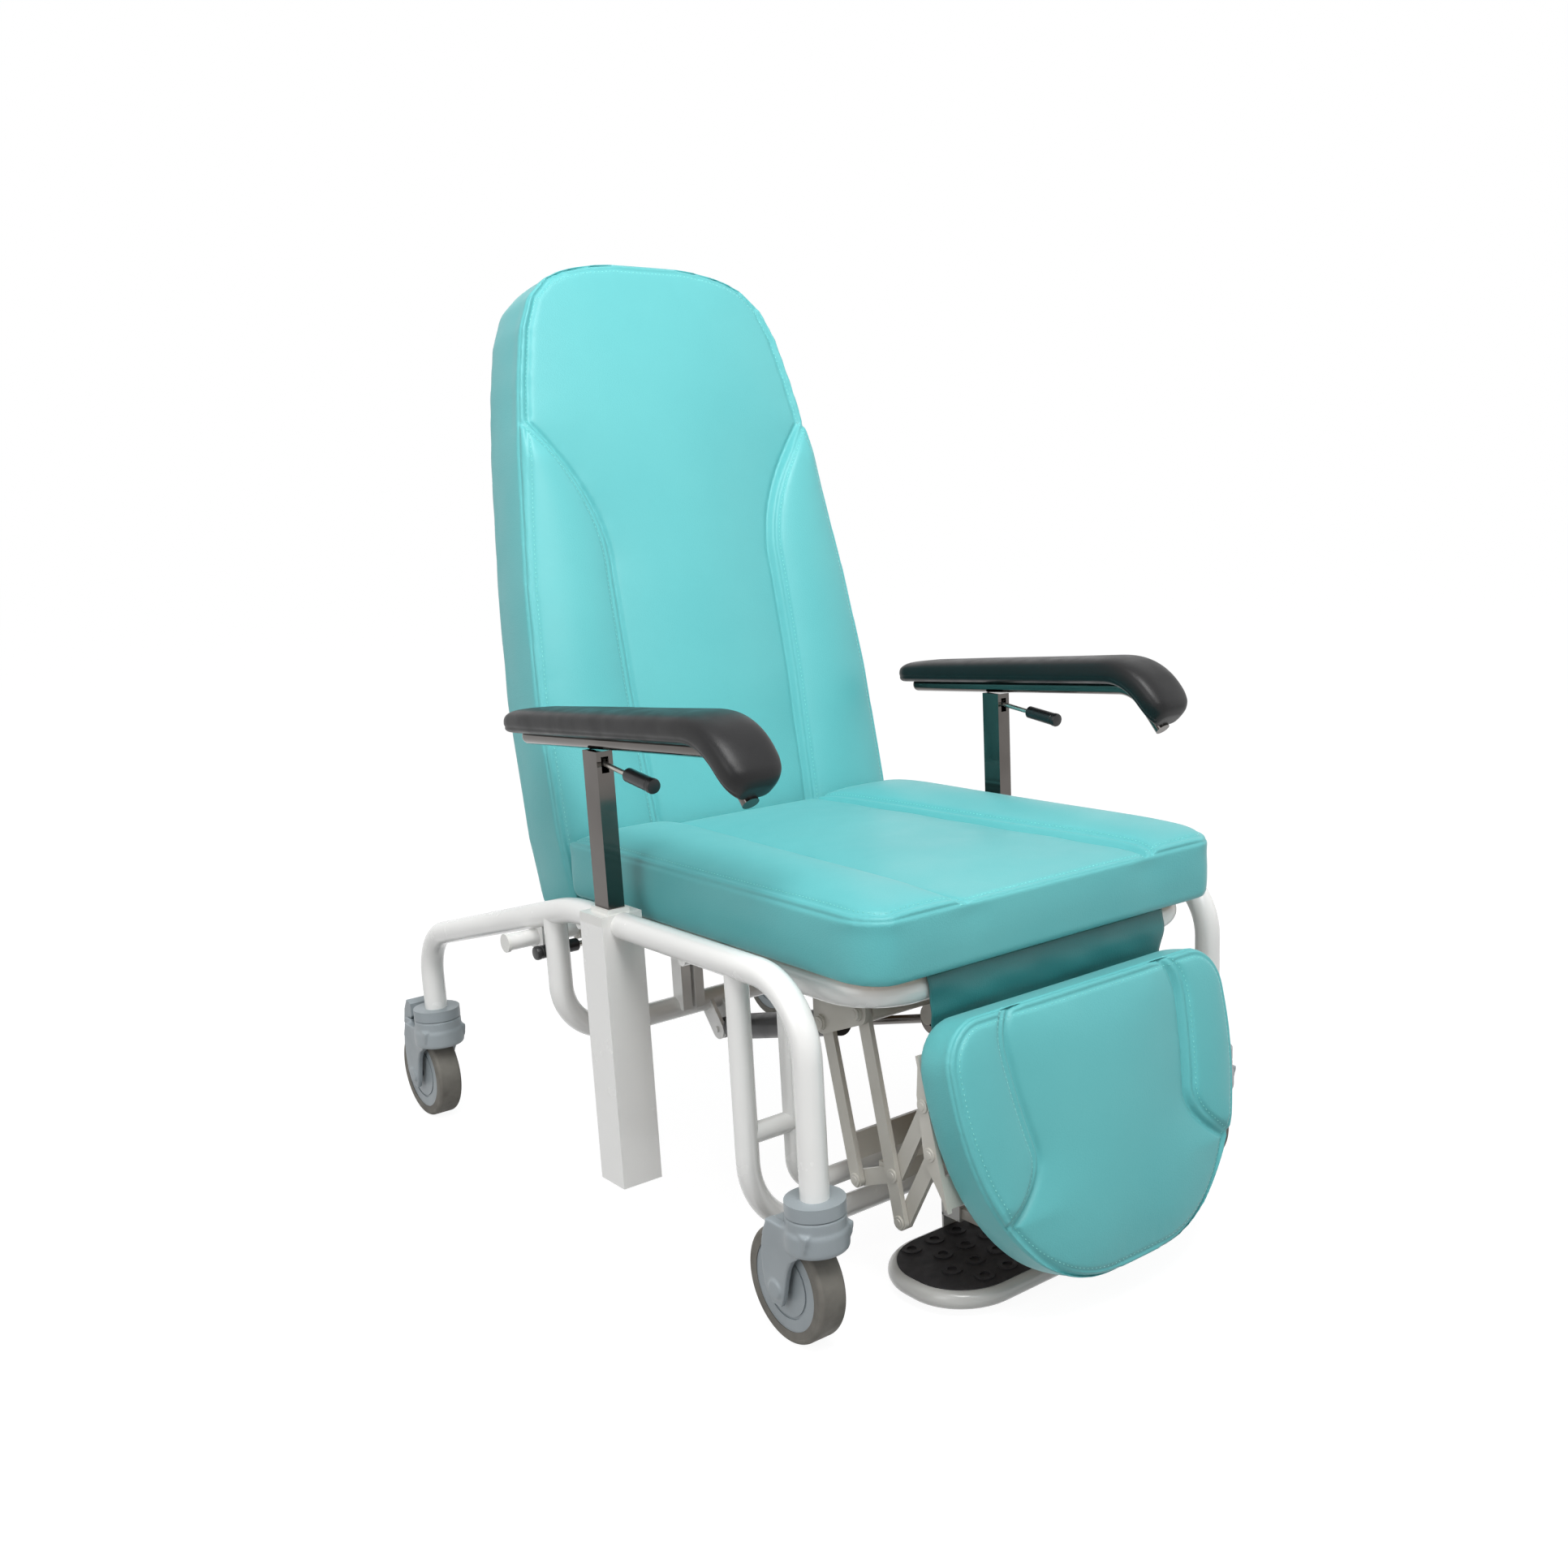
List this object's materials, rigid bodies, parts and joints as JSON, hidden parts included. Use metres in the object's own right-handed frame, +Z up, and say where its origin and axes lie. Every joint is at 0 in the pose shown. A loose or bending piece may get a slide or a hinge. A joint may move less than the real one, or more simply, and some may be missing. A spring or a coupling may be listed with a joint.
{
  "type": "hospital recliner on casters",
  "caption": "Wheeled clinic recliner with lifting legrest, reclining domed back, height-adjustable foam armrests and a sliding foot plate.",
  "frame": {"origin": "on the floor, midway between the four caster stems", "axes": "+Z up, -Y towards the way the sitter faces, +X towards the sitter's left"},
  "size_m": [0.688, 1.1344, 1.1339],
  "materials": {
    "white_paint": "powder coated, satin",
    "turquoise_vinyl": "coated upholstery fabric, soft sheen, sewn seams",
    "plywood": "raw plywood under the upholstery",
    "beige_steel": "beige-grey epoxy",
    "chrome": "polished",
    "black_foam": "integral skin foam, soft sheen",
    "black_plastic": "moulded, satin",
    "white_plastic": "moulded, satin",
    "pale_gloss": "glossy pale grey",
    "black_rubber": "ribbed mat with rings",
    "grey_plastic": "moulded, satin",
    "dark_tread": "dark grey tread"
  },
  "bodies": {
    "base": {"side_arch_right": "white_paint", "side_arch_left": "white_paint", "sleeve_post_right": "white_paint", "sleeve_post_left": "white_paint", "end_caps": "white_plastic", "rear_cross_tube": "white_paint", "front_cross_tube": "white_paint", "inner_u_tube": "white_paint", "seat_frame": "white_paint", "seat_board": "plywood", "seat_cushion": "turquoise_vinyl", "front_flap": "turquoise_vinyl", "back_axle": "white_paint", "seat_uprights": "white_paint", "link_plates": "beige_steel", "caster_stems": "grey_plastic"},
    "backrest": {"back_frame": "beige_steel", "back_board": "plywood", "back_shell": "turquoise_vinyl", "back_cushion": "turquoise_vinyl"},
    "lift_arms": {"lift_arms": "beige_steel"},
    "rear_rockers": {"rear_rockers": "beige_steel"},
    "bell_cranks": {"bell_cranks": "beige_steel"},
    "lower_links": {"lower_links": "beige_steel"},
    "legrest": {"legrest_frame": "beige_steel", "legrest_board": "plywood", "legrest_cushion": "turquoise_vinyl"},
    "foot_plate": {"foot_plate": "pale_gloss", "foot_mat": "black_rubber"},
    "leg_spring_cylinder": {"leg_spring_cylinder": "black_plastic"},
    "leg_spring_rod": {"leg_spring_rod": "chrome"},
    "back_spring_cylinder": {"back_spring_cylinder": "black_plastic"},
    "back_spring_rod": {"back_spring_rod": "chrome"},
    "armrest_right": {"arm_post_right": "chrome", "arm_carrier_right": "chrome", "arm_pad_right": "black_foam"},
    "armrest_left": {"arm_post_left": "chrome", "arm_carrier_left": "chrome", "arm_pad_left": "black_foam"},
    "arm_lever_right": {"arm_lever_right": "black_plastic"},
    "arm_lever_left": {"arm_lever_left": "black_plastic"},
    "recline_lever": {"recline_lever": "black_plastic"},
    "fork_front_right": {"fork_front_right": "grey_plastic"},
    "wheel_front_right": {"wheel_front_right": "grey_plastic", "tyre_front_right": "dark_tread"},
    "fork_front_left": {"fork_front_left": "grey_plastic"},
    "wheel_front_left": {"wheel_front_left": "grey_plastic", "tyre_front_left": "dark_tread"},
    "fork_rear_right": {"fork_rear_right": "grey_plastic"},
    "wheel_rear_right": {"wheel_rear_right": "grey_plastic", "tyre_rear_right": "dark_tread"},
    "fork_rear_left": {"fork_rear_left": "grey_plastic"},
    "wheel_rear_left": {"wheel_rear_left": "grey_plastic", "tyre_rear_left": "dark_tread"},
    "brake_pedal_right": {"brake_pedal_right": "grey_plastic"},
    "brake_pedal_left": {"brake_pedal_left": "grey_plastic"}
  },
  "joints": [
    {"name": "backrest_recline", "type": "hinge", "parent": "base", "child": "backrest", "pos_m": [0, 0.105, 0.32921], "axis": [-1, 0, 0], "range_deg": [0, 50]},
    {"name": "legrest_lift", "type": "hinge", "parent": "base", "child": "lift_arms", "pos_m": [0, -0.395, 0.322], "axis": [-1, 0, 0], "range_deg": [0, 75]},
    {"name": "rear_rocker_swing", "type": "hinge", "parent": "base", "child": "rear_rockers", "pos_m": [0, -0.333, 0.298], "axis": [-1, 0, 0], "range_deg": [0, 75]},
    {"name": "bell_crank_turn", "type": "hinge", "parent": "lift_arms", "child": "bell_cranks", "pos_m": [0, -0.434, 0.155], "axis": [-1, 0, 0], "range_deg": [-75, 0]},
    {"name": "lower_link_turn", "type": "hinge", "parent": "lift_arms", "child": "lower_links", "pos_m": [0, -0.442, 0.106], "axis": [-1, 0, 0], "range_deg": [-75, 0]},
    {"name": "legrest_turn", "type": "hinge", "parent": "bell_cranks", "child": "legrest", "pos_m": [0, -0.486, 0.245], "axis": [-1, 0, 0], "range_deg": [0, 75]},
    {"name": "leg_spring_swing", "type": "hinge", "parent": "base", "child": "leg_spring_cylinder", "pos_m": [-0.09, 0.03, 0.178], "axis": [-1, 0, 0], "range_deg": [-0.05, 0.02]},
    {"name": "leg_spring_stroke", "type": "slide", "parent": "leg_spring_cylinder", "child": "leg_spring_rod", "axis": [0, -0.9677, 0.2522], "range_m": [0, 0.04384]},
    {"name": "back_spring_swing", "type": "hinge", "parent": "base", "child": "back_spring_cylinder", "pos_m": [0.075, -0.2, 0.303], "axis": [-1, 0, 0], "range_deg": [-0.02, 0.747]},
    {"name": "back_spring_stroke", "type": "slide", "parent": "back_spring_cylinder", "child": "back_spring_rod", "axis": [0, 0.9968, -0.0796], "range_m": [-0.04716, 0]},
    {"name": "foot_plate_slide", "type": "slide", "parent": "legrest", "child": "foot_plate", "axis": [0, -1, 0], "range_m": [0, 0.1]},
    {"name": "armrest_height_right", "type": "slide", "parent": "base", "child": "armrest_right", "axis": [0, 0, 1], "range_m": [-0.09, 0.04]},
    {"name": "arm_lever_pull_right", "type": "hinge", "parent": "armrest_right", "child": "arm_lever_right", "pos_m": [-0.3, -0.077, 0.562], "axis": [-1, 0, 0], "range_deg": [0, 8], "stiffness_Nm_per_rad": 0.6, "springref_deg": -2.86},
    {"name": "armrest_height_left", "type": "slide", "parent": "base", "child": "armrest_left", "axis": [0, 0, 1], "range_m": [-0.09, 0.04]},
    {"name": "arm_lever_pull_left", "type": "hinge", "parent": "armrest_left", "child": "arm_lever_left", "pos_m": [0.3, -0.077, 0.562], "axis": [-1, 0, 0], "range_deg": [0, 8], "stiffness_Nm_per_rad": 0.6, "springref_deg": -2.86},
    {"name": "recline_lever_pull", "type": "hinge", "parent": "base", "child": "recline_lever", "pos_m": [-0.224, 0.0795, 0.316], "axis": [0, 1, 0], "range_deg": [0, 8], "stiffness_Nm_per_rad": 1, "springref_deg": -4.58},
    {"name": "swivel_front_right", "type": "hinge", "parent": "base", "child": "fork_front_right", "pos_m": [-0.3, -0.436, 0.145], "axis": [0, 0, 1], "continuous": true},
    {"name": "roll_front_right", "type": "hinge", "parent": "fork_front_right", "child": "wheel_front_right", "pos_m": [-0.3, -0.398, 0.0625], "axis": [1, 0, 0], "continuous": true},
    {"name": "swivel_front_left", "type": "hinge", "parent": "base", "child": "fork_front_left", "pos_m": [0.3, -0.436, 0.145], "axis": [0, 0, 1], "continuous": true},
    {"name": "roll_front_left", "type": "hinge", "parent": "fork_front_left", "child": "wheel_front_left", "pos_m": [0.3, -0.398, 0.0625], "axis": [1, 0, 0], "continuous": true},
    {"name": "swivel_rear_right", "type": "hinge", "parent": "base", "child": "fork_rear_right", "pos_m": [-0.3, 0.436, 0.145], "axis": [0, 0, 1], "continuous": true},
    {"name": "roll_rear_right", "type": "hinge", "parent": "fork_rear_right", "child": "wheel_rear_right", "pos_m": [-0.3, 0.474, 0.0625], "axis": [1, 0, 0], "continuous": true},
    {"name": "swivel_rear_left", "type": "hinge", "parent": "base", "child": "fork_rear_left", "pos_m": [0.3, 0.436, 0.145], "axis": [0, 0, 1], "continuous": true},
    {"name": "roll_rear_left", "type": "hinge", "parent": "fork_rear_left", "child": "wheel_rear_left", "pos_m": [0.3, 0.474, 0.0625], "axis": [1, 0, 0], "continuous": true},
    {"name": "brake_press_right", "type": "hinge", "parent": "fork_rear_right", "child": "brake_pedal_right", "pos_m": [-0.3, 0.49, 0.136], "axis": [-1, 0, 0], "range_deg": [0, 10]},
    {"name": "brake_press_left", "type": "hinge", "parent": "fork_rear_left", "child": "brake_pedal_left", "pos_m": [0.3, 0.49, 0.136], "axis": [-1, 0, 0], "range_deg": [0, 10]}
  ],
  "couplings": [
    {"joint": "rear_rocker_swing", "follows": "legrest_lift", "ratio": 1},
    {"joint": "bell_crank_turn", "follows": "legrest_lift", "ratio": -1},
    {"joint": "lower_link_turn", "follows": "legrest_lift", "ratio": -1},
    {"joint": "legrest_turn", "follows": "legrest_lift", "ratio": 1},
    {"joint": "leg_spring_swing", "follows": "legrest_lift", "ratio": -0.000395},
    {"joint": "leg_spring_stroke", "follows": "legrest_lift", "m_per_rad": 0.033481},
    {"joint": "back_spring_swing", "follows": "backrest_recline", "ratio": 0.01453},
    {"joint": "back_spring_stroke", "follows": "backrest_recline", "m_per_rad": -0.054028}
  ]
}
